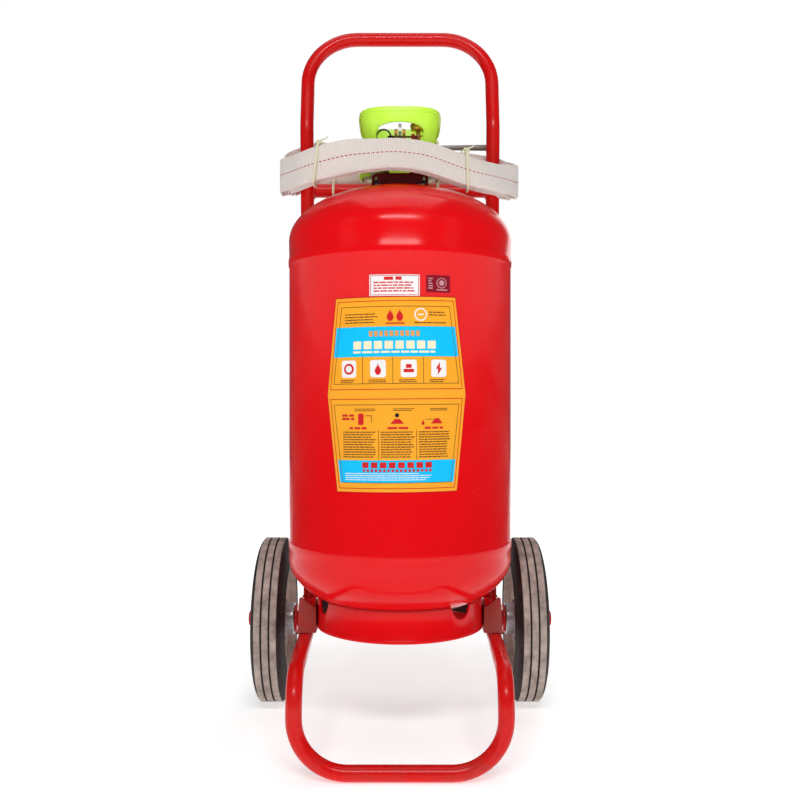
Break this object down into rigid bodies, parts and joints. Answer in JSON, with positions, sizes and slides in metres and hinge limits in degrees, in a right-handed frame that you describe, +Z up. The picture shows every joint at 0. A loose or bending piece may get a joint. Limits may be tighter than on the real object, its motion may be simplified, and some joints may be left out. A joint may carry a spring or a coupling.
{
  "type": "wheeled fire extinguisher",
  "caption": "Dry-powder fire extinguisher on a two-wheeled tubular trolley, with a guarded lever valve, a flat hose wound round the frame and a hand gun",
  "frame": {"origin": "on the ground, at the middle of the bounding box seen from above", "axes": "+Z up, -Y the front with the labels and the ground bar, +X to the right seen from the front"},
  "size_m": [0.386, 0.3796, 0.8567],
  "materials": {
    "vessel_paint": "gloss enamel, signal red",
    "frame_paint": "gloss enamel, red, slightly dusty low down",
    "dusty_paint": "red enamel under dust",
    "neck_paint": "dark maroon enamel",
    "valve_brass": "cast and turned, dull",
    "bright_steel": "zinc plated",
    "dark_steel": "blackened",
    "grey_steel": "grey, dull",
    "tyre_rubber": "solid rubber, worn grey on the tread",
    "seal_rubber": "matte",
    "guard_plastic": "fluorescent yellow green",
    "red_plastic": "red",
    "hose_fabric": "woven jacket, off-white, red stitched centre line",
    "tie_string": "cream string",
    "label_film": "printed film, orange and blue",
    "paper_film": "white",
    "maroon_film": "maroon",
    "dial_paper": "off-white",
    "gauge_glass": "clear"
  },
  "bodies": {
    "trolley": {"upper_head": "vessel_paint", "barrel": "vessel_paint", "lower_head": "vessel_paint", "foot_ring": "vessel_paint", "handle_arch": "frame_paint", "left_upright": "frame_paint", "right_upright": "frame_paint", "rear_cross_tube": "frame_paint", "left_leg_tube": "frame_paint", "right_leg_tube": "frame_paint", "ground_bar": "frame_paint", "axle_sleeve": "frame_paint", "left_flange_disc": "frame_paint", "right_flange_disc": "frame_paint", "left_end_cap": "frame_paint", "right_end_cap": "frame_paint", "left_foot_bracket": "dusty_paint", "right_foot_bracket": "dusty_paint", "neck_boss": "neck_paint", "neck_bracket": "neck_paint", "neck_stay": "neck_paint", "valve_body": "valve_brass", "gauge_stem": "valve_brass", "gauge_case": "valve_brass", "hose_coupling": "valve_brass", "axle_rod": "bright_steel", "valve_spring": "bright_steel", "lever_pivot_pin": "dark_steel", "nozzle_barrel": "grey_steel", "gun_body": "grey_steel", "siphon_tube": "grey_steel", "neck_seal": "seal_rubber", "valve_guard": "guard_plastic", "tamper_seal": "red_plastic", "hose_coil": "hose_fabric", "hose_lead": "hose_fabric", "hose_tail": "hose_fabric", "front_left_tie": "tie_string", "front_right_tie": "tie_string", "rear_left_tie": "tie_string", "rear_right_tie": "tie_string", "main_label": "label_film", "certificate_label": "paper_film", "seal_sticker": "maroon_film", "gauge_dial": "dial_paper", "gauge_lens": "gauge_glass"},
    "left_wheel": {"left_tyre": "tyre_rubber", "left_wheel_disc": "grey_steel", "left_hub": "bright_steel", "left_hub_bush": "valve_brass"},
    "right_wheel": {"right_tyre": "tyre_rubber", "right_wheel_disc": "grey_steel", "right_hub": "bright_steel", "right_hub_bush": "valve_brass"},
    "lever": {"operating_lever": "bright_steel"},
    "stem": {"valve_stem": "dark_steel"},
    "pin": {"safety_pin": "dark_steel"},
    "ring": {"pull_ring": "dark_steel"},
    "needle": {"gauge_needle": "dark_steel"},
    "gun_handle": {"gun_lever": "red_plastic"}
  },
  "joints": [
    {"name": "left_wheel_spin", "type": "hinge", "parent": "trolley", "child": "left_wheel", "pos_m": [-0.1595, 0.08725, 0.1025], "axis": [1, 0, 0], "continuous": true},
    {"name": "right_wheel_spin", "type": "hinge", "parent": "trolley", "child": "right_wheel", "pos_m": [0.1595, 0.08725, 0.1025], "axis": [1, 0, 0], "continuous": true},
    {"name": "lever_pull", "type": "hinge", "parent": "trolley", "child": "lever", "pos_m": [0, -0.01125, 0.678], "axis": [1, 0, 0], "range_deg": [0, 28], "stiffness_Nm_per_rad": 0.2},
    {"name": "stem_travel", "type": "slide", "parent": "trolley", "child": "stem", "axis": [0, 0, -1], "range_m": [0, 0.0026], "deforming": ["valve_spring"]},
    {"name": "safety_pin_pull", "type": "slide", "parent": "trolley", "child": "pin", "axis": [-1, 0, 0], "range_m": [0, 0.042]},
    {"name": "pull_ring_swing", "type": "hinge", "parent": "pin", "child": "ring", "pos_m": [-0.0108, -0.02125, 0.6895], "axis": [0, 0, 1], "range_deg": [-35, 35]},
    {"name": "gauge_needle_turn", "type": "hinge", "parent": "trolley", "child": "needle", "pos_m": [0.0215, -0.01125, 0.703], "axis": [0, 0, 1], "range_deg": [-60, 110]},
    {"name": "gun_lever_lift", "type": "hinge", "parent": "trolley", "child": "gun_handle", "pos_m": [0, 0.09075, 0.723], "axis": [0, -1, 0], "range_deg": [0, 75]}
  ],
  "couplings": [
    {"joint": "stem_travel", "follows": "lever_pull", "m_per_rad": 0.0053}
  ]
}
